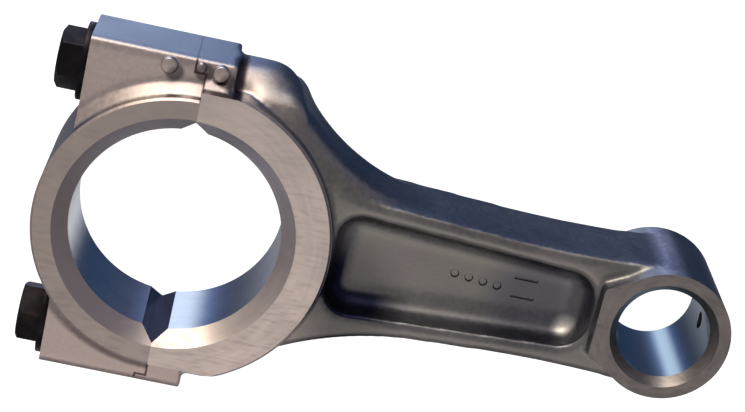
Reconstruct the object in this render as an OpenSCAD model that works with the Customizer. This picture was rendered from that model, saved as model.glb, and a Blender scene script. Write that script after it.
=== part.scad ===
// Split-end connecting rod for a small air-cooled engine, lying flat.
// Origin: centre of the crankpin bore. +X runs to the small end, +Z is the bore axis.

/* [Bores] */
// diameter of the bore that runs on the crankpin
crank_bore_d = 38.1; // [30:0.1:50]
// diameter of the bore that holds the piston pin
wrist_bore_d = 17.0; // [12:0.1:24]
// distance between the two bore axes
centre_distance = 90.1; // [70:0.1:130]
// radial width of the entry chamfer of the crankpin bore
crank_chamfer_w = 2.7; // [0.5:0.1:4]
// axial depth of the entry chamfer of the crankpin bore
crank_chamfer_h = 2.9; // [0.5:0.1:4]
// radial width of the entry chamfer of the piston pin bore
wrist_chamfer_w = 1.4; // [0.3:0.1:2.5]
// axial depth of the entry chamfer of the piston pin bore
wrist_chamfer_h = 1.8; // [0.3:0.1:2.5]

/* [Big end] */
// width of the big end over its two thrust faces
big_w = 24.2; // [16:0.1:36]
// outer radius of the ring on the rod side
rod_ring_r = 28.2; // [24:0.1:36]
// outer radius of the ring on the cap side, at the thrust face
cap_ring_r = 25.5; // [22:0.1:34]
// radius of the cap ring where it meets the bolt bosses
cap_ring_foot_r = 27.2; // [22:0.1:36]
// height of the flat that trims the rod ring beside the upper boss
ring_flat_upper = 27.0; // [22:0.1:30]
// height of the flat that trims the rod ring beside the lower boss
ring_flat_lower = 25.4; // [22:0.1:30]
// thickness of the bolt bosses
boss_w = 16.4; // [12:0.1:24]
// distance from the bore axis to the outer side of a boss
boss_out = 31.4; // [28:0.1:36]
// distance from the split to the seat of the bolt heads
seat_x = 20.8; // [12:0.1:26]
// how far the boss block runs past the split on the rod
rod_block_x = 5.3; // [3:0.1:8]
// chamfer along the long edges of the bosses
boss_edge = 0.9; // [0.2:0.1:2]
// depth of the lip of the rod that laps over the cap
lip_x = 2.0; // [1:0.1:4]
// distance from the bore axis to the lip
lip_y = 29.3; // [27:0.1:31]
// running gap between lip and cap
lip_gap = 0.04; // [0.02:0.01:0.1]
// half width of the V groove cut along the split at the bore
groove_half = 2.25; // [1:0.05:4]

/* [Bolts] */
// distance from the bore axis to each bolt axis
bolt_y = 24.8; // [22:0.1:28]
// major diameter of the bolts
bolt_d = 5.9; // [5:0.1:8]
// diameter of the tapped hole as modelled
tapped_d = 6.0; // [5:0.1:8.2]
// diameter of the clearance hole through the cap
clear_d = 6.6; // [5.5:0.1:9]
// length of the bolt under its head
bolt_len = 30; // [20:1:40]
// depth of the tapped hole from the split
tapped_depth = 10.2; // [8:0.1:16]
// width across the flats of the hexagon head
hex_af = 10; // [8:0.5:13]
// height of the hexagon head
hex_h = 4.2; // [3:0.1:6]
// outer diameter of the flat washer
washer_d = 14.2; // [11:0.1:18]
// bore of the flat washer
washer_id = 6.4; // [5.5:0.1:9]
// thickness of the flat washer
washer_t = 1.3; // [0.8:0.1:2.5]
// turn of the upper bolt head about its axis
upper_turn = 12; // [0:1:60]
// turn of the lower bolt head about its axis
lower_turn = 44; // [0:1:60]

/* [Beam] */
// thickness of the beam over its two flanges
beam_w = 18.4; // [12:0.1:26]
// half height of the beam next to the big end
beam_h1 = 12.25; // [8:0.05:18]
// position where the straight part of the beam starts
beam_x1 = 41; // [34:1:50]
// half height of the beam next to the small end
beam_h2 = 10.4; // [7:0.05:16]
// position where the straight part of the beam ends
beam_x2 = 75; // [60:1:84]
// radius of the hollow between the beam and the upper shoulder
neck_upper_r = 28; // [15:1:50]
// radius of the hollow between the beam and the lower side of the ring
neck_lower_r = 60; // [30:1:90]
// height of the upper shoulder
shoulder_y = 27.6; // [24:0.1:30]
// radius of the upper bolt nose
nose_upper_r = 7.4; // [5:0.1:9]
// end of the upper bolt nose
nose_upper_x = 17.2; // [13:0.1:22]
// radius of the lower bolt nose
nose_lower_r = 5.6; // [4.6:0.1:8]
// end of the lower bolt nose
nose_lower_x = 12.4; // [11:0.1:18]

/* [Pocket] */
// start of the pocket
pocket_x1 = 28.9; // [26:0.1:36]
// end of the pocket
pocket_x2 = 76.2; // [60:0.1:80]
// half height of the pocket at its start
pocket_h1 = 9.5; // [5:0.1:14]
// half height of the pocket at its end
pocket_h2 = 7.1; // [4:0.1:12]
// thickness of the web between the two pockets
web_t = 7.0; // [4:0.1:10]

/* [Small end] */
// width of the small end over its faces
small_w = 25.0; // [14:0.1:34]
// outer radius of the small end
small_r = 12.1; // [10:0.1:18]
// radius of the hollow between beam and small end
small_neck_r = 30; // [8:1:40]
// position of the straight front edge of the raised face
face_x = 77.5; // [70:0.1:84]
// half height of that straight edge
face_h = 6.6; // [3:0.1:10]
// diameter of the oil hole in the tip
oil_d = 3.2; // [1.5:0.1:5]

/* [Marks] */
// radius of the round match pads
pad_r = 1.5; // [0.8:0.1:2.5]
// height of the match pads above the boss
pad_h = 1.1; // [0.4:0.1:2]
// radius of the small pad on the lip
lip_pad_r = 0.95; // [0.5:0.05:1.5]

/* [Hidden] */
$fn = 96;
e = 0.01;
boss_z = boss_w / 2;
big_z = big_w / 2;
small_z = small_w / 2;
beam_z = beam_w / 2;
crank_r = crank_bore_d / 2;
wrist_r = wrist_bore_d / 2;
L = centre_distance;
taper = atan((beam_h1 - beam_h2) / (beam_x2 - beam_x1));
// unit vectors along and across the upper side of the beam
ux = cos(taper);
uy = -sin(taper);
// centre of the hollow that joins the beam to the small end, on the upper side
fx0 = beam_x2 + small_neck_r * sin(taper);
fy0 = beam_h2 + small_neck_r * cos(taper);
fr = small_r + small_neck_r;
fb = (fx0 - L) * ux + fy0 * uy;
fc = (fx0 - L) * (fx0 - L) + fy0 * fy0 - fr * fr;
fs = -fb - sqrt(fb * fb - fc);
fx = fx0 + fs * ux;
fy = fy0 + fs * uy;
// centres of the two hollows next to the big end
nux = beam_x1 + neck_upper_r * sin(taper);
nuy = beam_h1 + neck_upper_r * cos(taper);
nlx = beam_x1 + 6 + neck_lower_r * sin(taper);
nly = beam_h1 - 6 * tan(taper) + neck_lower_r * cos(taper);
// the side rounding of a pocket is centred just above the flange and dips below the floor
pocket_zc = beam_z + 0.3;
pocket_r = pocket_zc - web_t / 2 + 0.15;
pc1 = [pocket_x1 + pocket_r, pocket_h1 - pocket_r];
pc2 = [pocket_x2 - pocket_r, pocket_h2 - pocket_r];

cast_c = [0.56, 0.55, 0.56];
mach_c = [0.70, 0.68, 0.67];
black_c = [0.05, 0.045, 0.055];

// solid of revolution about the bore axis for a bore with two entry chamfers
module bore_cut(r, z, w, h) {
  translate([0, 0, -z - 1]) cylinder(r = r, h = 2 * z + 2);
  for (m = [0, 1]) mirror([0, 0, m])
    translate([0, 0, z - h]) cylinder(r1 = r, r2 = r + w * (h + 1) / h, h = h + 1);
}

// boss block running along X with chamfered long edges on its outer side
module boss_block(x1, x2, y1, y2, z) {
  c = boss_edge;
  translate([x1, 0, 0]) rotate([90, 0, 90]) linear_extrude(height = x2 - x1)
    polygon([[y1, -z], [y2 - c, -z], [y2, -z + c], [y2, z - c], [y2 - c, z], [y1, z]]);
}

// round pad with a bevelled rim, standing on the front of a boss
module match_pad(x, y, r, h) {
  translate([x, y, boss_z - 0.6]) cylinder(r = r, h = h + 0.6 - 0.35);
  translate([x, y, boss_z + h - 0.35]) cylinder(r1 = r, r2 = r - 0.35, h = 0.35);
}

// rounded body around a tapped hole
module bolt_nose(x2, r, round) {
  rotate([0, 90, 0]) {
    translate([0, 0, 2]) cylinder(r = r, h = x2 - 2 - round);
    translate([0, 0, x2 - round]) cylinder(r1 = r, r2 = r - round * 0.55, h = round);
  }
}

module beam_outline() {
  difference() {
    polygon([[11, 0], [12.5, 25.3], [15.5, shoulder_y], [24, shoulder_y],
      [beam_x1, beam_h1], [beam_x2, beam_h2], [L, beam_h2 - (L - beam_x2) * tan(taper)],
      [L, -beam_h2 + (L - beam_x2) * tan(taper)], [beam_x2, -beam_h2],
      [beam_x1, -beam_h1 - 1], [24, -19], [11, -19]]);
    translate([nux, nuy]) circle(r = neck_upper_r);
    translate([nlx, -nly]) circle(r = neck_lower_r);
  }
  // material under the hollows beside the small end
  difference() {
    polygon([[beam_x2 - 3, 0], [beam_x2 - 3, beam_h2 + 3 * tan(taper)], [beam_x2, beam_h2],
      [fx, fy], [L, 0], [fx, -fy], [beam_x2, -beam_h2],
      [beam_x2 - 3, -beam_h2 - 3 * tan(taper)]]);
    for (s = [1, -1]) translate([fx, s * fy]) circle(r = small_neck_r);
  }
}

module small_face_outline() {
  union() {
    translate([L, 0]) circle(r = small_r);
    polygon([[face_x, -face_h], [face_x, face_h], [L - 6.3, face_h + 3.4],
      [L - small_r * cos(76), small_r * sin(76)], [L, 0],
      [L - small_r * cos(76), -small_r * sin(76)], [L - 6.3, -face_h - 3.4]]);
  }
}

// prism along Y whose section, seen with Z up, is open to -X and rounded towards +X
module rounded_side(len) {
  rotate([90, 0, 0]) translate([0, 0, -len / 2]) linear_extrude(height = len)
    intersection() {
      union() {
        translate([-80, -30]) square([80, 60]);
        translate([0, 0]) circle(r = pocket_r);
      }
      translate([-79, web_t / 2 - pocket_zc]) square([120, 30]);
    }
}

// one trough with rounded sides and ends, open upwards
module pocket() {
  a = atan2(pc1[1] - pc2[1], pc2[0] - pc1[0]);
  n = 7;
  intersection() {
    for (s = [1, -1])
      translate([(pc1[0] + pc2[0]) / 2, s * (pc1[1] + pc2[1]) / 2, pocket_zc])
        rotate([0, 0, s * (90 - a)]) rounded_side(90);
    translate([pc2[0], 0, pocket_zc]) rounded_side(60);
    translate([pc1[0], 0, pocket_zc]) rotate([0, 0, 180]) rounded_side(60);
    linear_extrude(height = 30) polygon(concat(
      [for (i = [0:n]) [pc2[0] + pocket_r * cos(i * (90 - a) / n), pc2[1] + pocket_r * sin(i * (90 - a) / n)]],
      [for (i = [0:n]) [pc1[0] + pocket_r * cos(90 - a + i * (90 + a) / n), pc1[1] + pocket_r * sin(90 - a + i * (90 + a) / n)]],
      [for (i = [0:n]) [pc1[0] - pocket_r * cos(i * (90 + a) / n), -pc1[1] - pocket_r * sin(i * (90 + a) / n)]],
      [for (i = [0:n]) [pc2[0] + pocket_r * cos((n - i) * (90 - a) / n), -pc2[1] - pocket_r * sin((n - i) * (90 - a) / n)]]));
  }
}

// V groove along the split, on the side s of the bore
module split_groove(s) {
  apex = crank_r + groove_half;
  translate([0, 0, -20]) linear_extrude(height = 40)
    polygon([[-4, s * (apex - 4)], [0, s * apex], [4, s * (apex - 4)]]);
}

module rod_body() color(cast_c) difference() {
  union() {
    // rod half of the ring, trimmed flat beside the bosses
    intersection() {
      translate([0, 0, -big_z]) cylinder(r = rod_ring_r, h = big_w);
      translate([0, -ring_flat_lower, -20]) cube([40, ring_flat_lower + ring_flat_upper, 40]);
    }
    // boss blocks and lips
    for (s = [0, 1]) mirror([0, s, 0]) {
      boss_block(0, rod_block_x, 17, boss_out, boss_z);
      boss_block(-lip_x, 1, lip_y, boss_out, boss_z);
    }
    translate([0, bolt_y, 0]) bolt_nose(nose_upper_x, nose_upper_r, 3.2);
    translate([0, -bolt_y, 0]) bolt_nose(nose_lower_x, nose_lower_r, 1.2);
    // beam
    translate([0, 0, -beam_z]) linear_extrude(height = beam_w) beam_outline();
    // small end
    translate([0, 0, -small_z]) linear_extrude(height = small_w) small_face_outline();
    match_pad(2.6, 30.0, pad_r, pad_h);
    match_pad(-lip_x + lip_pad_r + 0.05, 30.35, lip_pad_r, 0.7);
  }
  bore_cut(crank_r, big_z, crank_chamfer_w, crank_chamfer_h);
  translate([L, 0, 0]) bore_cut(wrist_r, small_z, wrist_chamfer_w, wrist_chamfer_h);
  for (s = [1, -1]) {
    split_groove(s);
    // tapped hole with its drill point
    translate([-5, s * bolt_y, 0]) rotate([0, 90, 0]) {
      cylinder(d = tapped_d, h = tapped_depth + 5);
      translate([0, 0, tapped_depth + 5]) cylinder(d1 = tapped_d, d2 = 0, h = tapped_d * 0.29);
    }
  }
  for (m = [0, 1]) mirror([0, 0, m]) pocket();
  // oil hole through the tip of the small end
  translate([L + wrist_r - 2, 0, 0]) rotate([0, 90, 0]) cylinder(d = oil_d, h = small_r);
}

module rod_cap() color(cast_c) difference() {
  union() {
    // cap half of the ring
    intersection() {
      translate([0, 0, -big_z]) cylinder(r = cap_ring_r, h = big_w);
      translate([-40, -40, -20]) cube([40, 80, 40]);
    }
    // sloping foot of the ring above the bosses
    intersection() {
      union() for (m = [0, 1]) mirror([0, 0, m])
        translate([0, 0, boss_z - e]) cylinder(r1 = cap_ring_foot_r, r2 = cap_ring_r, h = big_z - boss_z + e);
      translate([-seat_x, -40, -20]) cube([seat_x, 80, 40]);
    }
    for (s = [0, 1]) mirror([0, s, 0]) boss_block(-seat_x, 0, 13, boss_out, boss_z);
    match_pad(-6.6, 29.75, pad_r, pad_h);
  }
  bore_cut(crank_r, big_z, crank_chamfer_w, crank_chamfer_h);
  for (s = [1, -1]) {
    split_groove(s);
    // shoulder that takes the lip of the rod
    translate([-lip_x - lip_gap, s > 0 ? lip_y - lip_gap : -boss_out - 1, -10])
      cube([lip_x + 1, boss_out - lip_y + 1 + lip_gap, 20]);
    // clearance hole for the bolt
    translate([-seat_x - 1, s * bolt_y, 0]) rotate([0, 90, 0]) cylinder(d = clear_d, h = seat_x + 2);
  }
}

// flat washer with its outer face at the head side
module flat_washer() color(black_c) rotate([0, 90, 0]) difference() {
  union() {
    cylinder(d1 = washer_d - 0.5, d2 = washer_d, h = 0.25);
    translate([0, 0, 0.25]) cylinder(d = washer_d, h = washer_t - 0.25);
  }
  translate([0, 0, -1]) cylinder(d = washer_id, h = washer_t + 2);
}

// hexagon head screw, underside of the head at x = 0, shank along +X
module hex_bolt(turn) color(black_c) rotate([0, 90, 0]) {
  ac = hex_af / cos(30);
  rotate([0, 0, turn]) translate([0, 0, -hex_h]) intersection() {
    cylinder(d = ac, h = hex_h, $fn = 6);
    cylinder(r1 = hex_af / 2 - 0.25, r2 = hex_af / 2 - 0.25 + hex_h * 1.6, h = hex_h);
  }
  translate([0, 0, -0.4]) cylinder(d = bolt_d, h = bolt_len + 0.4 - 0.8);
  translate([0, 0, bolt_len - 0.8]) cylinder(d1 = bolt_d, d2 = bolt_d - 1.4, h = 0.8);
}

module washer_upper() translate([-seat_x - washer_t, bolt_y, 0]) flat_washer();
module washer_lower() translate([-seat_x - washer_t, -bolt_y, 0]) flat_washer();
module bolt_upper() translate([-seat_x - washer_t, bolt_y, 0]) hex_bolt(upper_turn);
module bolt_lower() translate([-seat_x - washer_t, -bolt_y, 0]) hex_bolt(lower_turn);

rod_body();
rod_cap();
washer_upper();
washer_lower();
bolt_upper();
bolt_lower();
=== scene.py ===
"""Split-end connecting rod lying flat on a pale floor, with its cap, screws and washers.

The modelling is in millimetres and the materials are in metres, both in the frame of the part: the
origin is the centre of the crankpin bore, +X runs to the small end and +Z is the bore axis.
"""
from math import atan2, cos, hypot, pi, radians, sin, sqrt

import bmesh
import bpy
from mathutils import Matrix, Vector


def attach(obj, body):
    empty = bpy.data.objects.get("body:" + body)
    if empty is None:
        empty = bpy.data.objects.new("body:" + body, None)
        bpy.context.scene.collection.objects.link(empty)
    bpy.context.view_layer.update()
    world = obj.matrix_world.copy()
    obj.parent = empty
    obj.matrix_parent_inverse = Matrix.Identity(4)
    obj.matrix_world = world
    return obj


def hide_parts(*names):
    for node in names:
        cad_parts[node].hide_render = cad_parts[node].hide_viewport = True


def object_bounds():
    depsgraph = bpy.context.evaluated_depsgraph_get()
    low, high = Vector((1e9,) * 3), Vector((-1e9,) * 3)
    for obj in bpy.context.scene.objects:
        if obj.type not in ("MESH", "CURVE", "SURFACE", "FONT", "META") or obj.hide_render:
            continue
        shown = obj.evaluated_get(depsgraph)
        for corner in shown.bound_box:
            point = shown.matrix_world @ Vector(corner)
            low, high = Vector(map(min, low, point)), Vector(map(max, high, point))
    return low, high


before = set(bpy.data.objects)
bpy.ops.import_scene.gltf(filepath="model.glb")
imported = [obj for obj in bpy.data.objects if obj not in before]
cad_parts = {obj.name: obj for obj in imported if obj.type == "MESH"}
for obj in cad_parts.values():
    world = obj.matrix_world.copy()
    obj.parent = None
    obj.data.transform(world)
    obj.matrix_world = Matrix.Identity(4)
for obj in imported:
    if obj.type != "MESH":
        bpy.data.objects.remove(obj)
cad_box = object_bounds()
MM = 0.001

# bores, how far apart they are, and the width and depth of the chamfers at their ends
CRANK_R = 19.05
CRANK_CHAMFER = (2.7, 2.9)
WRIST_R = 8.5
WRIST_CHAMFER = (1.4, 1.8)
CENTRES = 90.1

# half widths along the bores, and of the raw rings before they are faced
BIG_Z = 12.1
SMALL_Z = 12.5
BOSS_Z = 8.2
BEAM_Z = 9.2
RAW_Z = 13.5

# outside of the big end and of the small end; the lower boss lies a little further in
ROD_RING_R = 28.2
CAP_RING_R = 25.5
EYE_R = 12.1
BOSS_Y = 31.9
BOSS_EDGE = 1.15
LOWER_INSET = 1.0

# screws: their axes, the seats of their washers and how much nearer the lower seat lies
BOLT_Y = 24.8
SEAT_X = -20.8
LOWER_SHIFT = 1.2
WASHER = 1.3
HEAD = 4.2
FLATS = 10

# lip of the rod that laps over the cap
LIP_Y = 29.3
LIP_X = -2.0
LIP_GAP = 0.04

# the shank tapers between these two places, each with its half height
WIDE_X, WIDE_Y = 41, 12.25
SLIM_X, SLIM_Y = 75, 10.4
TAPER = atan2(WIDE_Y - SLIM_Y, SLIM_X - WIDE_X)
NECK_R = 170.0

# place along the shank that parts the big end from the small end
MIDWAY = 60

# cutters run this far past the casting, and the skin is made of cells of this size
REACH = 40
VOXEL = 0.42


# ---------------------------------------------------------------- modelling helpers

def take(obj):
    """Make obj the one selected and active object."""
    bpy.ops.object.select_all(action="DESELECT")
    obj.select_set(True)
    bpy.context.view_layer.objects.active = obj


def settle(obj, name):
    """Give the object just added its name and put its place into its mesh."""
    take(obj)
    bpy.ops.object.transform_apply(location=True, rotation=True, scale=True)
    obj.name = name
    return obj


def block(name, low, high):
    """Box between two corners."""
    centre = [(a + b) / 2 * MM for a, b in zip(low, high)]
    size = [(b - a) * MM for a, b in zip(low, high)]
    bpy.ops.object.select_all(action="DESELECT")
    bpy.ops.mesh.primitive_cube_add(size=1, location=centre, scale=size)
    return settle(bpy.context.object, name)


def slab(name, x=(-REACH, REACH), y=(-REACH, REACH), z=(-REACH, REACH)):
    """Block for trimming, of which only the given limits matter."""
    return block(name, *zip(x, y, z))


def drum(name, centre, radius, length, axis="Z", sides=160, end_radius=None):
    """Cylinder, or cone towards +axis, about a middle point. The axis is X or Z."""
    turn = (0, pi / 2 if axis == "X" else 0, 0)
    bpy.ops.object.select_all(action="DESELECT")
    bpy.ops.mesh.primitive_cone_add(
        vertices=sides, radius1=radius * MM, depth=length * MM,
        radius2=(radius if end_radius is None else end_radius) * MM,
        location=[c * MM for c in centre], rotation=turn)
    return settle(bpy.context.object, name)


def pick(obj, faces=None, edges=None):
    """Select in edit mode the faces or the edges for which the test is true. Sizes are in mm."""
    mesh = bmesh.from_edit_mesh(obj.data)
    bpy.ops.mesh.select_all(action="DESELECT")
    if faces:
        bpy.ops.mesh.select_mode(type="FACE")
        for face in mesh.faces:
            face.select_set(faces(face.calc_center_median() / MM, face.normal))
    else:
        bpy.ops.mesh.select_mode(type="EDGE")
        for edge in mesh.edges:
            a, b = (v.co / MM for v in edge.verts)
            edge.select_set(edges((a + b) / 2, (b - a).normalized()))
    mesh.select_flush_mode()
    bmesh.update_edit_mesh(obj.data)


def round_edges(obj, test, width, steps):
    """Bevel the edges whose middle and direction pass the test."""
    take(obj)
    bpy.ops.object.mode_set(mode="EDIT")
    pick(obj, edges=test)
    bpy.ops.mesh.bevel(offset=width * MM, segments=steps, affect="EDGES")
    bpy.ops.object.mode_set(mode="OBJECT")
    return obj


def prism(name, outline, low, high):
    """Solid whose plan is the outline, from height low to height high."""
    bpy.ops.object.select_all(action="DESELECT")
    bpy.ops.mesh.primitive_circle_add(vertices=len(outline), radius=MM, fill_type="NGON")
    obj = bpy.context.object
    bpy.ops.object.mode_set(mode="EDIT")
    bpy.ops.mesh.select_mode(type="VERT")
    for i, (x, y) in enumerate(outline):
        mesh = bmesh.from_edit_mesh(obj.data)
        bpy.ops.mesh.select_all(action="DESELECT")
        mesh.verts.ensure_lookup_table()
        vert = mesh.verts[i]
        vert.select_set(True)
        step = Vector((x, y, low)) * MM - vert.co
        bpy.ops.transform.translate(value=step)
    bpy.ops.mesh.select_all(action="SELECT")
    bpy.ops.mesh.extrude_region_move(TRANSFORM_OT_translate={"value": (0, 0, (high - low) * MM)})
    bpy.ops.mesh.select_all(action="SELECT")
    bpy.ops.mesh.normals_make_consistent(inside=False)
    bpy.ops.object.mode_set(mode="OBJECT")
    return settle(obj, name)


def modify(obj, kind, **values):
    """Add a modifier with these values and apply it."""
    take(obj)
    mod = obj.modifiers.new(kind, kind)
    for key, value in values.items():
        setattr(mod, key, value)
    bpy.ops.object.modifier_apply(modifier=mod.name)
    return obj


def carve(obj, *tools, how="DIFFERENCE"):
    """Cut the tools away from obj, or add them or keep what they share, and remove them."""
    for tool in tools:
        modify(obj, "BOOLEAN", operation=how, solver="MANIFOLD", object=tool)
        bpy.data.objects.remove(tool)
    return obj


def join(obj, *others):
    """Make the others part of obj."""
    take(obj)
    for other in others:
        other.select_set(True)
    bpy.ops.object.join()
    return obj


def cast(obj, voxel, passes):
    """Turn overlapping lumps into one skin and round all its edges and corners."""
    modify(obj, "REMESH", mode="VOXEL", voxel_size=voxel * MM, adaptivity=0.0)
    return modify(obj, "SMOOTH", factor=0.5, iterations=passes)


def mirror_z(obj):
    """A copy of obj on the other side of the middle plane."""
    take(obj)
    bpy.ops.object.duplicate()
    twin = bpy.context.object
    bpy.ops.transform.resize(value=(1, 1, -1), center_override=(0, 0, 0))
    bpy.ops.object.transform_apply(location=True, rotation=True, scale=True)
    bpy.ops.object.mode_set(mode="EDIT")
    bpy.ops.mesh.select_all(action="SELECT")
    bpy.ops.mesh.normals_make_consistent(inside=False)
    bpy.ops.object.mode_set(mode="OBJECT")
    return twin


# ---------------------------------------------------------------- rod and cap

def beam_half(x):
    """Half height of the shank at x."""
    return WIDE_Y - (x - WIDE_X) * (WIDE_Y - SLIM_Y) / (SLIM_X - WIDE_X)


def hollow(start, radius, side, sides):
    """Cutter for the hollow that leaves the shank's edge at start, and its centre."""
    x, y = start + radius * sin(TAPER), side * (beam_half(start) + radius * cos(TAPER))
    return drum("hollow", (x, y, 0), radius, REACH, sides=sides), x, y


def seat_x(side):
    """Plane under the washer on this side."""
    return SEAT_X if side > 0 else SEAT_X + LOWER_SHIFT


def boss_y(side):
    """Outer face of the boss on this side."""
    return BOSS_Y if side > 0 else LOWER_INSET - BOSS_Y


def bore_tool(name, x, radius, half, chamfer):
    """Cutter for a bore with an entry chamfer at both ends."""
    width, depth = chamfer
    obj = drum(name, (x, 0, 0), radius, 2 * (half - depth), sides=192)
    over = 1.0
    wide = (radius + width * (depth + over) / depth) / radius
    for side in (1, -1):
        take(obj)
        bpy.ops.object.mode_set(mode="EDIT")
        pick(obj, faces=lambda c, n: n.z * side > 0.9)
        bpy.ops.mesh.extrude_region_move(
            TRANSFORM_OT_translate={"value": (0, 0, side * (depth + over) * MM)})
        bpy.ops.transform.resize(value=(wide, wide, 1), center_override=(x * MM, 0, 0))
        bpy.ops.object.mode_set(mode="OBJECT")
    return obj


def boss(name, x1, x2, side, root):
    """Bolt boss along X, from its root out, with rounded long edges on its outer side."""
    outer = boss_y(side)
    y1, y2 = sorted((side * root, outer))
    obj = block(name, (x1, y1, -BOSS_Z), (x2, y2, BOSS_Z))
    return round_edges(obj, lambda m, d: abs(d.x) > 0.9 and abs(m.y - outer) < 0.1,
                       BOSS_EDGE, 2)


def pocket_tool(name):
    """Cutter for the trough in the front of the shank."""
    x1, x2, y1, y2, floor_z = 28.7, 76.6, 9.6, 7.0, 3.5
    obj = prism(name, [(x1, -y1), (x2, -y2), (x2, y2), (x1, y1)], floor_z, 14)
    round_edges(obj, lambda m, d: abs(d.z) > 0.9, 4.6, 7)
    return round_edges(obj, lambda m, d: m.z < floor_z + 0.1, 4.3, 7)


def rod_casting():
    """The rod as it leaves the mould, before its faces and bores are cut."""
    past_split = -4
    ring = drum("rod_ring", (0, 0, 0), ROD_RING_R, 2 * RAW_Z)
    carve(ring, slab("trim_cap_side", x=(-REACH, past_split)),
          slab("trim_upper", y=(27.0, REACH)), slab("trim_lower", y=(-REACH, -25.4)))
    root, tip = 14, 92
    shank = prism("shank", [(root, -beam_half(root)), (tip, -beam_half(tip)),
                            (tip, beam_half(tip)), (root, beam_half(root))], -BEAM_Z, BEAM_Z)
    shoulder = rod_shoulder()
    start = 47
    lower_neck = carve(block("lower_neck", (11, -20, -BEAM_Z), (start, 0, BEAM_Z)),
                       hollow(start, 60, -1, 256)[0])
    lower_nose = drum("lower_nose", (6.2, -BOLT_Y, 0), 5.7, 12.4, "X", 96)
    round_edges(lower_nose, lambda m, d: m.x > 12.3, 1.6, 4)
    eye = drum("eye", (CENTRES, 0, 0), EYE_R, 2 * RAW_Z)
    core = join(shank, shoulder, lower_neck, lower_nose, eye_neck())
    core.name = "rod_casting"
    cast(core, VOXEL, 2)
    pocket = pocket_tool("pocket")
    carve(core, mirror_z(pocket), pocket)
    cast(core, VOXEL, 14)
    foot = block("foot", (past_split, 18, -10.3), (4.6, 28.7, 10.3))
    round_edges(foot, lambda m, d: abs(d.x) > 0.9 and m.y > 28, 2.0, 1)
    bosses = [boss("rod_boss", past_split, end, side, 17)
              for side, end in ((1, 5.3), (-1, 5.3 + LOWER_SHIFT))]
    join(core, ring, eye, eye_face(), foot, *bosses)
    return cast(core, VOXEL, 4)


def rod_shoulder():
    """Upper side of the rod beside the ring, flowing over the tapped hole into the shank."""
    start, top, radius = 46, 29.0, 37
    neck = block("neck", (9, 0, -BEAM_Z), (start, top, BEAM_Z))
    round_edges(neck, lambda m, d: abs(d.x) > 0.9 and m.y > top - 0.1, 5.0, 6)
    tool, hx, hy = hollow(start, radius, 1, 240)
    carve(neck, tool)
    round_edges(neck, lambda m, d: (abs(d.z) < 0.1
                                    and abs(hypot(m.x - hx, m.y - hy) - radius) < 0.1), 4.4, 6)
    nose = drum("nose", (6.8, BOLT_Y, 0), 7.1, 21.2, "X", 96)
    round_edges(nose, lambda m, d: m.x > 17.3, 5.6, 8)
    join(neck, nose)
    return cast(neck, 0.5, 40)


def neck_centre():
    """Centre of the hollow between shank and eye, which touches both."""
    ux, uy = cos(TAPER), -sin(TAPER)
    x0, y0 = SLIM_X + NECK_R * sin(TAPER), SLIM_Y + NECK_R * cos(TAPER)
    reach = EYE_R + NECK_R
    b = (x0 - CENTRES) * ux + y0 * uy
    c = (x0 - CENTRES) ** 2 + y0 ** 2 - reach ** 2
    s = -b - sqrt(b * b - c)
    return x0 + s * ux, y0 + s * uy


def eye_neck():
    """The neck where the shank widens into the eye, hollow on both sides."""
    fx, fy = neck_centre()
    sx, sy = fx - NECK_R * sin(TAPER), fy - NECK_R * cos(TAPER)
    neck = prism("eye_neck", [(sx - 3, -sy), (sx, -sy), (fx, -fy), (CENTRES, 0), (fx, fy),
                              (sx, sy), (sx - 3, sy)], -BEAM_Z, BEAM_Z)
    return carve(neck, *(drum("hollow", (fx, y, 0), NECK_R, REACH, sides=800)
                         for y in (fy, -fy)))


def eye_face():
    """Raised face of the small end, with its straight edge towards the shank."""
    lower = [(77.5, -6.6), (83.8, -10.0), (87.2, -11.75), (92, -8)]
    upper = [(x, -y) for x, y in reversed(lower)]
    return prism("eye_face", lower + upper, -RAW_Z, RAW_Z)


def build_rod():
    """The rod with its faces, bores, tapped holes and grooves cut, and its match pads."""
    rod = rod_casting()
    big, small = (-REACH, MIDWAY), (MIDWAY, 3 * REACH)
    trims = [
        slab("split", x=(-REACH, 0), y=(-LIP_Y, LIP_Y)),
        slab("lip_end", x=(-REACH, LIP_X)),
        slab("front", x=big, z=(BIG_Z, REACH)),
        slab("back", x=big, z=(-REACH, -BIG_Z)),
        slab("eye_front", x=small, z=(SMALL_Z, REACH)),
        slab("eye_back", x=small, z=(-REACH, -SMALL_Z)),
        bore_tool("crank_bore", 0, CRANK_R, BIG_Z, CRANK_CHAMFER),
        bore_tool("wrist_bore", CENTRES, WRIST_R, SMALL_Z, WRIST_CHAMFER),
        drum("oil_hole", (CENTRES + 10, 0, 0), 1.6, 14, "X", 48),
        *edge_break(ROD_RING_R),
    ]
    for side in (1, -1):
        trims.append(groove_tool(side))
        trims.append(drum("tapped_hole", (0, side * BOLT_Y, 0), 3.0, 20.4, "X", 64))
    # plain dimples and bars on the floor of the pocket
    for i, x in enumerate((51.5, 54.2, 56.9, 59.6)):
        trims.append(drum("dimple", (x, 0.6 - 0.25 * i, 4.0), 0.62, 1.8, sides=32,
                          end_radius=1.5))
    for y in (2.2, -1.4):
        trims.append(block("bar", (62.4, y - 0.32, 3.1), (66.8, y + 0.32, 5.0)))
    carve(rod, *trims)
    carve(rod, match_pad(2.6, 30.0, 1.5, 1.1), match_pad(-1.0, 30.35, 0.95, 0.7), how="UNION")
    return rod


def edge_break(radius):
    """Cutters that take the sharp outer edge off both faces of the big end."""
    tool = slab("edge_break", x=(-REACH, 44), z=(BIG_Z - 0.4, BIG_Z + 1.2))
    carve(tool, drum("keep", (0, 0, BIG_Z + 0.4), radius + 0.05, 1.8, sides=192,
                     end_radius=radius - 1.75))
    return tool, mirror_z(tool)


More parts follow.
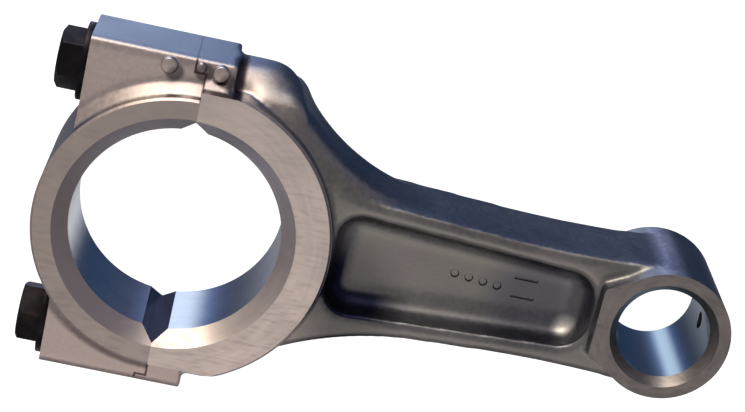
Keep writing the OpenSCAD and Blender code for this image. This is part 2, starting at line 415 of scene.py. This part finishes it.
def groove_tool(side):
    """Cutter for the V groove along the split at the bore."""
    apex, base, half = side * (CRANK_R + 2.25), side * (CRANK_R - 1.75), 4
    return prism("groove", [(-half, base), (0, apex), (half, base)], -REACH, REACH)


def match_pad(x, y, radius, height):
    """Round cast pad with a domed rim, standing on a boss."""
    top = BOSS_Z + height
    pad = drum("match_pad", (x, y, top - 1), radius, 2, sides=48)
    return round_edges(pad, lambda m, d: m.z > top - 0.01, 0.4, 4)


def cap_casting():
    """The cap as it leaves the mould, with a flared foot at each end of its ring."""
    ring = drum("cap_ring", (0, 0, 0), CAP_RING_R, 2 * RAW_Z)
    feet = [drum("foot", (0, 0, 9.1), 28.0, 2.4, end_radius=CAP_RING_R)]
    feet.append(mirror_z(feet[0]))
    for foot in feet:
        carve(foot, slab("trim_upper", x=(-REACH, seat_x(1) - 1.5), y=(0, REACH)),
              slab("trim_lower", x=(-REACH, seat_x(-1) - 1.5), y=(-REACH, 0)))
    past_split = 4
    bosses = [boss("cap_boss", seat_x(side) - 2, past_split, side, 13) for side in (1, -1)]
    cap = join(ring, *feet, *bosses)
    cap.name = "cap_casting"
    cast(cap, VOXEL, 5)
    return carve(cap, slab("trim_rod_side", x=(past_split, REACH)))


def build_cap():
    """The cap with its faces, bore, seats, screw holes and room for the lip cut."""
    cap = cap_casting()
    trims = [
        slab("split", x=(0, REACH)),
        slab("front", z=(BIG_Z, REACH)),
        slab("back", z=(-REACH, -BIG_Z)),
        bore_tool("crank_bore", 0, CRANK_R, BIG_Z, CRANK_CHAMFER),
        *edge_break(CAP_RING_R),
    ]
    for side in (1, -1):
        seat = slab("seat", x=(-REACH, seat_x(side)), y=sorted((side * 2, side * REACH)))
        trims.append(carve(seat, drum("ring_room", (0, 0, 0), CAP_RING_R, 3 * REACH)))
        trims.append(groove_tool(side))
        trims.append(slab("lip_room", x=(LIP_X - LIP_GAP, REACH),
                          y=sorted((side * (LIP_Y - LIP_GAP), side * REACH))))
        trims.append(drum("clearance_hole", (-10, side * BOLT_Y, 0), 3.3, 30, "X", 64))
    carve(cap, *trims)
    return carve(cap, match_pad(-6.6, 29.75, 1.5, 1.1), how="UNION")


# ---------------------------------------------------------------- screws and washers

def build_screw(side, turn):
    """Hexagon head screw with a chamfered head and a cut thread, turned by some degrees."""
    y = side * BOLT_Y
    under = seat_x(side) - WASHER
    middle = under - HEAD / 2
    screw = drum("head", (middle, y, 0), FLATS / cos(radians(30)) / 2, HEAD, "X", 6)
    take(screw)
    bpy.ops.object.mode_set(mode="EDIT")
    bpy.ops.mesh.select_all(action="SELECT")
    bpy.ops.transform.rotate(value=radians(turn), orient_axis="X",
                             center_override=(0, y * MM, 0))
    bpy.ops.object.mode_set(mode="OBJECT")
    round_edges(screw, lambda m, d: abs(d.x) > 0.9, 0.25, 3)
    crown = 4.75
    carve(screw, drum("crown", (middle, y, 0), crown, HEAD, "X", 96,
                      end_radius=crown + HEAD * 1.6), how="INTERSECT")
    carve(screw, drum("core", (under + 14.6, y, 0), 2.45, 30.0, "X", 64),
          drum("plain_part", (under + 4.5, y, 0), 2.95, 10.0, "X", 64), how="UNION")
    return join(screw, thread(under + 10, y, 19))


def thread(start, y, turns):
    """Ridge of a right-hand thread of 1 mm pitch, running along +X."""
    bpy.ops.object.select_all(action="DESELECT")
    bpy.ops.mesh.primitive_circle_add(vertices=3, radius=0.4 * MM,
                                      location=(start * MM, 2.55 * MM, 0))
    ridge = settle(bpy.context.object, "thread")
    steps = 24
    modify(ridge, "SCREW", axis="X", screw_offset=MM, iterations=turns, steps=steps,
           render_steps=steps)
    bpy.ops.object.mode_set(mode="EDIT")
    bpy.ops.mesh.select_all(action="SELECT")
    bpy.ops.mesh.remove_doubles(threshold=0.001 * MM)
    bpy.ops.mesh.fill_holes(sides=3)
    bpy.ops.mesh.select_all(action="SELECT")
    bpy.ops.mesh.normals_make_consistent(inside=False)
    bpy.ops.transform.translate(value=(0, y * MM, 0))
    bpy.ops.object.mode_set(mode="OBJECT")
    return ridge


def build_washer(side):
    """Flat washer with slightly rounded rims, lying on its seat."""
    y = side * BOLT_Y
    middle = seat_x(side) - WASHER / 2
    ring = drum("washer", (middle, y, 0), 7.1, WASHER, "X", 96)
    round_edges(ring, lambda m, d: abs(abs(m.x - middle) - WASHER / 2) < 0.01, 0.25, 3)
    return carve(ring, drum("hole", (middle, y, 0), 3.2, 4, "X", 64))


# ---------------------------------------------------------------- materials

class Nodes:
    """Small helper that adds and links the nodes of one tree."""

    def __init__(self, tree):
        self.tree = tree
        self.shader = tree.nodes.get("Principled BSDF")

    def add(self, kind, values=None, **settings):
        node = self.tree.nodes.new("ShaderNode" + kind)
        for key, value in settings.items():
            setattr(node, key, value)
        for key, value in (values or {}).items():
            if isinstance(value, bpy.types.NodeSocket):
                self.tree.links.new(value, node.inputs[key])
            else:
                node.inputs[key].default_value = value
        return node

    def math(self, operation, a, b=0.0):
        return self.add("Math", {0: a, 1: b}, operation=operation).outputs[0]

    def remap(self, value, low, high, to_low=0.0, to_high=1.0):
        """Smooth step from to_low to to_high while the value goes from low to high."""
        return self.add("MapRange", {0: value, 1: low, 2: high, 3: to_low, 4: to_high},
                        interpolation_type="SMOOTHSTEP").outputs[0]

    def noise(self, vector, scale, detail, rough):
        return self.add("TexNoise", {"Vector": vector, "Scale": scale, "Detail": detail,
                                     "Roughness": rough}).outputs["Fac"]

    def mix(self, factor, a, b, blend="MIX"):
        """Colour from a to b, or b blended onto a."""
        node = self.add("Mix", {0: factor}, data_type="RGBA", blend_type=blend)
        for socket, value in ((node.inputs[6], a), (node.inputs[7], b)):
            if isinstance(value, bpy.types.NodeSocket):
                self.tree.links.new(value, socket)
            else:
                socket.default_value = (*value, 1)
        return node.outputs[2]

    def ramp(self, factor, stops):
        node = self.add("ValToRGB", {0: factor})
        ramp = node.color_ramp
        while len(ramp.elements) < len(stops):
            ramp.elements.new(0.5)
        for element, (place, colour) in zip(ramp.elements, stops):
            element.position = place
            element.color = (*colour, 1)
        return node.outputs[0]

    def vector(self, x, y, z):
        return self.add("CombineXYZ", {0: x, 1: y, 2: z}).outputs[0]

    def grid(self, *pairs):
        """Vector of three values, each times its own scale."""
        return self.vector(*(self.math("MULTIPLY", value, scale) for value, scale in pairs))

    def near(self, place, point):
        """Distance of the place from a point."""
        return self.add("VectorMath", {0: place, 1: point}, operation="DISTANCE").outputs["Value"]

    def off(self, value, middle):
        """How far the value is from the middle, on either side."""
        return self.math("ABSOLUTE", self.math("SUBTRACT", value, middle))

    def up(self):
        """How far the surface looks along the bore axis."""
        normal = self.add("TexCoord").outputs["Normal"]
        return self.add("SeparateXYZ", {0: normal}).outputs[2]

    def use(self, colour, rough, height, strength, depth):
        """Link colour, roughness and bump height, with the bump depth in millimetres."""
        bump = self.add("Bump", {"Strength": strength, "Distance": depth * MM,
                                 "Height": height})
        for value, socket in ((colour, "Base Color"), (rough, "Roughness"),
                              (bump.outputs[0], "Normal")):
            self.tree.links.new(value, self.shader.inputs[socket])


def metal(name, metallic=1.0):
    """A new metal and its node helper, with its position sockets in metres."""
    mat = bpy.data.materials.new(name)
    mat.use_nodes = True
    nodes = Nodes(mat.node_tree)
    nodes.shader.inputs["Metallic"].default_value = metallic
    place = nodes.add("TexCoord").outputs["Object"]
    xyz = nodes.add("SeparateXYZ", {0: place}).outputs
    return mat, nodes, place, xyz


def cast_metal():
    """Cast skin: light round the screws and darker along the shank, the change partly painted
    shade; with painted shade, shadows, reflections and highlights in places.
    """
    mat, n, place, (x, y, _) = metal("cast_skin")
    side = n.math("ABSOLUTE", y)
    up = n.up()
    wall = n.remap(n.math("ABSOLUTE", up), 0.80, 0.35)
    patches = n.noise(place, 90, 4, 0.55)
    blotch = n.remap(patches, 0.3, 0.7)
    grain = n.noise(place, 1100, 4, 0.6)
    fine = n.noise(place, 3800, 2, 0.5)

    # light skin, with a painted shade tone on its walls and a painted blue sky reflection on the
    # outer walls of the bosses
    light = n.mix(blotch, (0.62, 0.52, 0.505), (0.73, 0.62, 0.595))
    outer = n.remap(side, 0.0290, 0.0310)
    light = n.mix(wall, light, n.mix(outer, (0.52, 0.49, 0.475), (0.43, 0.465, 0.56)))

    # dark skin with faint green tints, a painted blue-grey reflection tone on its walls, and a
    # painted highlight band down the wall of the eye
    dark = n.mix(blotch, (0.275, 0.255, 0.262), (0.375, 0.352, 0.35))
    apart = n.add("VectorMath", {0: place, 1: (0.3, 0.1, 0.2)}).outputs[0]
    tint = n.remap(n.noise(apart, 140, 2, 0.5), 0.35, 0.65, 0.0, 0.35)
    dark = n.mix(tint, dark, (0.30, 0.305, 0.26))
    painted_highlight_band = n.remap(n.off(x, 0.0890), 0.0035, 0.0008)
    dark = n.mix(wall, dark, n.mix(painted_highlight_band, (0.30, 0.305, 0.335), (0.88, 0.86, 0.94)))

    # painted shade in the big end's corner of the pocket, strongest on its slopes, and a darker
    # patch on the pocket floor near the eye
    slope = n.remap(up, 0.985, 0.88)
    corner_shade = n.remap(n.near(place, (0.0315, -0.0085, 0.0045)), 0.0150, 0.0060)
    corner_shade = n.math("MULTIPLY", corner_shade, n.math("ADD", n.math("MULTIPLY", slope, 0.6), 0.4))
    dark = n.mix(corner_shade, dark, (0.018, 0.020, 0.045))
    dark_floor_patch = n.remap(n.near(place, (0.067, -0.0015, 0.0035)), 0.0130, 0.0040, 0.0, 0.7)
    dark = n.mix(dark_floor_patch, dark, (0.12, 0.12, 0.17))

    # where the light skin gives way to the dark, reaching further along on the lower side; the
    # change begins at the bore's centre, so it is partly painted shade darkening the nose towards
    # the shank
    edge = n.math("ADD", x, n.remap(patches, 0.3, 0.7, -0.002, 0.002))
    edge = n.math("ADD", edge, n.remap(y, -0.006, -0.012, 0.0, -0.009))
    base = n.mix(n.remap(edge, 0.0, 0.0240), light, dark)

    # painted shadow in the step behind the boss and to the lower right of the pads
    painted_shadow = n.remap(n.off(x, 0.0061), 0.0013, 0.0004)
    painted_shadow = n.math("MULTIPLY", painted_shadow, n.remap(y, 0.0250, 0.0268))
    for pad in ((0.0037, 0.0288, 0.0082), (-0.0003, 0.0295, 0.0082), (-0.0055, 0.0286, 0.0082)):
        ring = n.remap(n.near(place, pad), 0.0021, 0.0012, 0.0, 0.75)
        painted_shadow = n.math("MAXIMUM", painted_shadow, ring)
    base = n.mix(painted_shadow, base, (0.07, 0.055, 0.065))

    # dark seam of the lapped joint: the lip's side, the split and the lip's end
    seam = 0.0
    for across, line, along, low, high in ((side, LIP_Y, x, LIP_X, 0.0),
                                           (x, 0.0, side, 20.0, LIP_Y),
                                           (x, LIP_X, side, LIP_Y, 40.0)):
        stretch = n.remap(n.off(across, line * MM), 0.00028, 0.00012)
        for test, end in (("GREATER_THAN", low - 0.2), ("LESS_THAN", high + 0.2)):
            stretch = n.math("MULTIPLY", stretch, n.math(test, along, end * MM))
        seam = n.math("MAXIMUM", seam, stretch)
    seam = n.math("MULTIPLY", seam, n.remap(wall, 0.2, 1.0, 0.85, 0.2))
    base = n.mix(seam, base, (0.075, 0.035, 0.03))

    # painted highlight spot in the pocket's corner near the eye
    painted_glint = n.remap(n.near(place, (0.0733, -0.0050, 0.0050)), 0.0030, 0.0006, 0.0, 0.9)
    base = n.mix(painted_glint, base, (0.98, 0.93, 0.89))

    speck = n.mix(n.remap(grain, 0.35, 0.7), (0.88, 0.88, 0.89), (1.05, 1.05, 1.04))
    colour = n.mix(1.0, base, speck, "MULTIPLY")
    rough = n.math("ADD", n.remap(grain, 0.3, 0.7, 0.30, 0.38),
                   n.remap(patches, 0.3, 0.7, -0.03, 0.05))
    height = n.math("ADD", n.math("MULTIPLY", grain, 0.7), n.math("MULTIPLY", fine, 0.3))
    n.use(colour, rough, height, 0.25, 0.10)
    return mat


def round_axis(n, x, y):
    """Distance from, and angle round, the nearer bore axis, and 1 at the small end."""
    small_end = n.math("GREATER_THAN", x, MIDWAY * MM)
    x = n.math("SUBTRACT", x, n.math("MULTIPLY", small_end, CENTRES * MM))
    reach = n.math("SQRT", n.math("ADD", n.math("MULTIPLY", x, x), n.math("MULTIPLY", y, y)))
    return reach, n.math("ARCTAN2", y, x), small_end


def faced_metal():
    """Turned faces and chamfers with fine circular tool marks and a few handling scratches."""
    mat, n, place, (x, y, z) = metal("turned_face")
    reach, angle, small_end = round_axis(n, x, y)
    rings = n.noise(n.grid((reach, 5200), (angle, 1.3), (z, 5200)), 1.0, 3, 0.6)
    streaks = n.noise(n.grid((reach, 900), (angle, 3.0), (z, 1.0)), 1.0, 4, 0.6)
    scratch = n.noise(n.grid((x, 260), (y, 1500), (z, 0.0)), 1.0, 2, 0.5)
    patches = n.noise(place, 120, 3, 0.5)

    streaky = n.remap(streaks, 0.3, 0.7)
    light = n.mix(streaky, (0.72, 0.635, 0.61), (0.82, 0.72, 0.685))
    dim = n.mix(streaky, (0.245, 0.225, 0.225), (0.33, 0.30, 0.295))
    big_end = n.mix(n.math("LESS_THAN", x, 0.0), light, (0.50, 0.435, 0.42))
    # painted shade darkens the sides of the V grooves and the other side-facing cut faces at the
    # split
    groove_shade = n.math("MULTIPLY", n.math("LESS_THAN", n.math("ABSOLUTE", x), 0.0026),
                   n.math("LESS_THAN", n.math("ABSOLUTE", n.up()), 0.3))
    big_end = n.mix(groove_shade, big_end, (0.20, 0.20, 0.28))
    colour = n.mix(small_end, big_end, dim)
    rough = n.math("ADD", n.remap(patches, 0.3, 0.7, 0.30, 0.38),
                   n.remap(scratch, 0.45, 0.75, 0.0, 0.10))
    height = n.math("ADD", n.math("MULTIPLY", rings, 0.6), n.math("MULTIPLY", scratch, 0.4))
    n.use(colour, rough, height, 0.22, 0.02)
    return mat


def bored_metal():
    """Honed bore: bright, with fine hoops that draw each reflection out along the axis."""
    mat, n, _, (x, y, z) = metal("honed_bore")
    reach, angle, small_end = round_axis(n, x, y)
    hoops = n.noise(n.grid((angle, 2.0), (reach, 1.0), (z, 6500)), 1.0, 3, 0.6)
    broad = n.noise(n.grid((angle, 2.5), (reach, 0.0), (z, 240)), 1.0, 2, 0.5)
    bright = n.mix(n.remap(broad, 0.3, 0.7), (0.82, 0.84, 0.88), (0.92, 0.93, 0.95))
    colour = n.mix(small_end, bright, (0.52, 0.60, 0.64))
    n.use(colour, n.remap(hoops, 0.3, 0.7, 0.13, 0.24), hoops, 0.25, 0.02)
    return mat


def black_metal():
    """Blackened steel, dull, with brown and violet tints in broad patches."""
    mat, n, place, _ = metal("black_oxide", 0.75)
    patches = n.noise(place, 260, 3, 0.55)
    grain = n.noise(place, 2600, 3, 0.6)
    colour = n.ramp(patches, [(0.30, (0.007, 0.006, 0.009)), (0.50, (0.014, 0.011, 0.014)),
                              (0.72, (0.036, 0.025, 0.025))])
    n.use(colour, n.remap(grain, 0.3, 0.7, 0.28, 0.44), grain, 0.3, 0.04)
    return mat


CAST_FACE, MACHINED, POLISHED = range(3)


def finish_of(centre, normal):
    """Finish of the face with this centre in millimetres and this normal."""
    x, y, z = centre
    big, small = hypot(x, y), hypot(x - CENTRES, y)
    flat = hypot(normal.x, normal.y)
    if abs(big - CRANK_R) < 0.08 and flat > 0.95 and abs(z) < BIG_Z - CRANK_CHAMFER[1] + 0.1:
        return POLISHED
    if abs(small - WRIST_R) < 0.05 and flat > 0.95 and abs(z) < SMALL_Z - WRIST_CHAMFER[1] + 0.1:
        return POLISHED
    if abs(normal.z) > 0.999 and min(abs(abs(z) - BIG_Z), abs(abs(z) - SMALL_Z)) < 0.005:
        return MACHINED
    if big < CRANK_R + CRANK_CHAMFER[0] + 0.05 or small < WRIST_R + WRIST_CHAMFER[0] + 0.05:
        return MACHINED
    planes = (0.0, seat_x(y), LIP_X)
    if abs(normal.x) > 0.999 and min(abs(x - plane) for plane in planes) < 0.05:
        return MACHINED
    return CAST_FACE


def dress(obj, mats):
    """Give each face its finish, and shade it smooth with sharp machined edges."""
    obj.data.materials.clear()
    for mat in mats:
        obj.data.materials.append(mat)
    if len(mats) > 1:
        for face in obj.data.polygons:
            face.material_index = finish_of(face.center / MM, face.normal)
    take(obj)
    bpy.ops.object.shade_smooth_by_angle(angle=radians(28))


# ---------------------------------------------------------------- stage

def camera():
    """Camera high above the +Y side of the rod, turned a little clockwise."""
    data = bpy.data.cameras.new("camera")
    data.sensor_width = 36.0
    data.lens = 106.31
    data.clip_start = 0.01
    data.clip_end = 20.0
    obj = bpy.data.objects.new("camera", data)
    bpy.context.scene.collection.objects.link(obj)
    right = Vector((0.976374, 0.216036, 0.004699))
    up = Vector((-0.202140, 0.920826, -0.333496))
    back = Vector((-0.076374, 0.324667, 0.942740))
    place = Vector((0.003635, 0.139195, 0.378325))
    turn = Matrix((right, up, back)).transposed().to_4x4()
    obj.matrix_world = Matrix.Translation(place) @ turn
    bpy.context.scene.camera = obj


def lighting():
    """Studio all round the rod: a low bright window, a soft ceiling and blue-grey depths."""
    world = bpy.data.worlds.new("studio")
    world.use_nodes = True
    n = Nodes(world.node_tree)
    way = n.add("TexCoord").outputs["Generated"]
    x, y, z = n.add("SeparateXYZ", {0: way}).outputs
    turn = n.math("ADD", n.math("DIVIDE", n.math("ARCTAN2", y, x), 2 * pi), 0.5)

    def at(degrees):
        """Place on a ramp of the direction at this angle from +X."""
        return degrees / 360 + 0.5

    # colours by direction: towards the floor, level with it, and overhead
    below = n.ramp(turn, [
        (at(-180), (0.07, 0.08, 0.115)), (at(-131), (0.20, 0.21, 0.25)),
        (at(-100), (0.24, 0.24, 0.27)), (at(-50), (0.62, 0.63, 0.66)),
        (at(-18), (0.02, 0.035, 0.08)), (at(25), (0.03, 0.055, 0.11)),
        (at(58), (0.05, 0.065, 0.12)), (at(76), (0.09, 0.12, 0.22)),
        (at(88), (0.17, 0.23, 0.42)), (at(106), (0.80, 0.95, 1.20)),
        (at(124), (0.75, 0.88, 1.10)), (at(142), (0.10, 0.15, 0.32)),
        (at(160), (0.06, 0.075, 0.13)), (at(180), (0.07, 0.08, 0.115))])
    level = n.ramp(turn, [
        (at(-180), (0.38, 0.355, 0.35)), (at(-140), (0.27, 0.255, 0.255)),
        (at(-90), (0.22, 0.205, 0.205)), (at(-21), (0.23, 0.225, 0.235)),
        (at(44), (0.27, 0.265, 0.32)), (at(88.5), (0.22, 0.22, 0.29)),
        (at(92.5), (3.8, 3.55, 3.2)), (at(121), (3.5, 3.1, 2.5)),
        (at(131), (0.55, 0.51, 0.46)), (at(180), (0.38, 0.355, 0.35))])
    above = n.mix(n.remap(x, -0.15, 0.30), (0.36, 0.345, 0.34), (0.25, 0.245, 0.255))
    sky = n.mix(n.remap(z, 0.36, 0.62), level, above)
    sky = n.mix(n.remap(z, -0.05, -0.50), sky, below)
    aim = Vector((0.07, -0.50, 0.86)).normalized()
    facing = n.add("VectorMath", {0: way, 1: aim}, operation="DOT_PRODUCT").outputs["Value"]
    glow = n.remap(facing, cos(radians(17)), cos(radians(3)))
    sky = n.mix(glow, sky, (1.05, 0.96, 0.87))
    world.node_tree.links.new(sky, world.node_tree.nodes["Background"].inputs["Color"])
    bpy.context.scene.world = world
    bpy.context.scene.view_settings.view_transform = "Standard"


def floor():
    """White floor just under the part, which throws no gloss onto it."""
    bpy.ops.object.select_all(action="DESELECT")
    bpy.ops.mesh.primitive_plane_add(size=8, location=(0, 0, cad_box[0][2] - 0.0002))
    obj = bpy.context.object
    obj.name = "floor"
    mat = bpy.data.materials.new("floor_white")
    mat.use_nodes = True
    shader = mat.node_tree.nodes["Principled BSDF"]
    shader.inputs["Base Color"].default_value = (0.9, 0.9, 0.9, 1)
    shader.inputs["Roughness"].default_value = 0.8
    shader.inputs["Emission Color"].default_value = (1, 1, 1, 1)
    shader.inputs["Emission Strength"].default_value = 1.0
    obj.data.materials.append(mat)
    obj.visible_glossy = False


camera()
lighting()
floor()
CAST = cast_metal()
FACED = faced_metal()
BORED = bored_metal()
BLACK = black_metal()

rod = build_rod()
rod.name = "rod_casting_finished"
dress(rod, (CAST, FACED, BORED))
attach(rod, "rod")
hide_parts("rod_body")
cap = build_cap()
cap.name = "cap_casting_finished"
dress(cap, (CAST, FACED, BORED))
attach(cap, "cap")
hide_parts("rod_cap")
for label, side, turn in (("upper", 1, 12), ("lower", -1, 44)):
    screw = build_screw(side, turn)
    screw.name = label + "_hex_screw"
    dress(screw, (BLACK,))
    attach(screw, label + "_screw")
    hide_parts("bolt_" + label)
    washer = build_washer(side)
    washer.name = label + "_flat_washer"
    dress(washer, (BLACK,))
    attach(washer, label + "_washer")
    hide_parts("washer_" + label)
